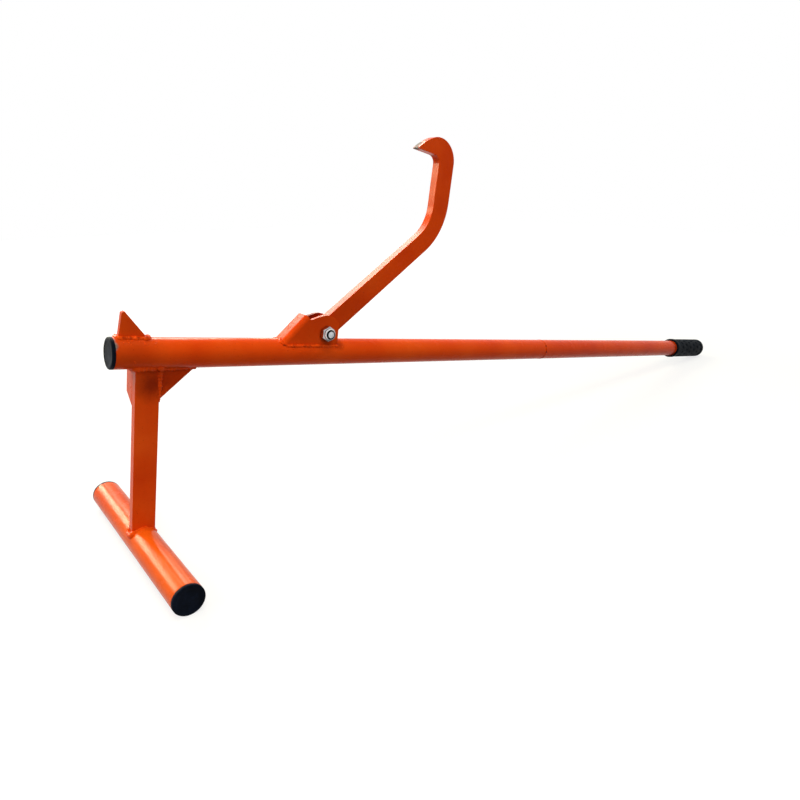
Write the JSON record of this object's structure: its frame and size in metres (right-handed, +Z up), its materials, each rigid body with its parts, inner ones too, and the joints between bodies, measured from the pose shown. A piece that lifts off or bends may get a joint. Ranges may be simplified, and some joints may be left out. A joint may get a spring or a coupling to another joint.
{
  "type": "felling lever",
  "caption": "Steel tube lever with a rubber grip, a leg and cross foot, a fixed tooth and a swinging hook, for lifting and rolling a felled log.",
  "frame": {"origin": "on the floor, midway between the front of the foot tube and the end of the grip, in the plane of the leg", "axes": "+X along the floor from the foot towards the grip, +Z up, +Y across the handle to the side of the bolt head"},
  "size_m": [1.2782, 0.267, 0.4339],
  "materials": {
    "orange_paint": "gloss",
    "bare_steel": "mill finish",
    "zinc_plate": "bright zinc",
    "black_plastic": "satin",
    "black_rubber": "moulded"
  },
  "bodies": {
    "lever": {"lower_tube": "orange_paint", "upper_tube": "orange_paint", "seam_sleeve": "bare_steel", "head_plug": "black_plastic", "grip": "black_rubber", "tooth": "orange_paint", "tooth_weld": "orange_paint", "leg_post": "orange_paint", "leg_gusset": "orange_paint", "rear_gusset": "orange_paint", "post_top_weld": "orange_paint", "gusset_weld": "orange_paint", "foot_tube": "orange_paint", "foot_weld": "orange_paint", "foot_plug_front": "black_plastic", "foot_plug_back": "black_plastic", "hook_bracket": "orange_paint", "bracket_weld": "orange_paint", "friction_washer_front": "zinc_plate", "friction_washer_back": "zinc_plate", "pivot_bolt": "zinc_plate", "lock_nut": "zinc_plate", "nut_insert": "black_plastic"},
    "hook": {"hook": "orange_paint"}
  },
  "joints": [
    {"name": "hook_swing", "type": "hinge", "parent": "lever", "child": "hook", "pos_m": [-0.38541, 0, 0.20969], "axis": [0, -1, 0], "range_deg": [-28, 78]}
  ]
}
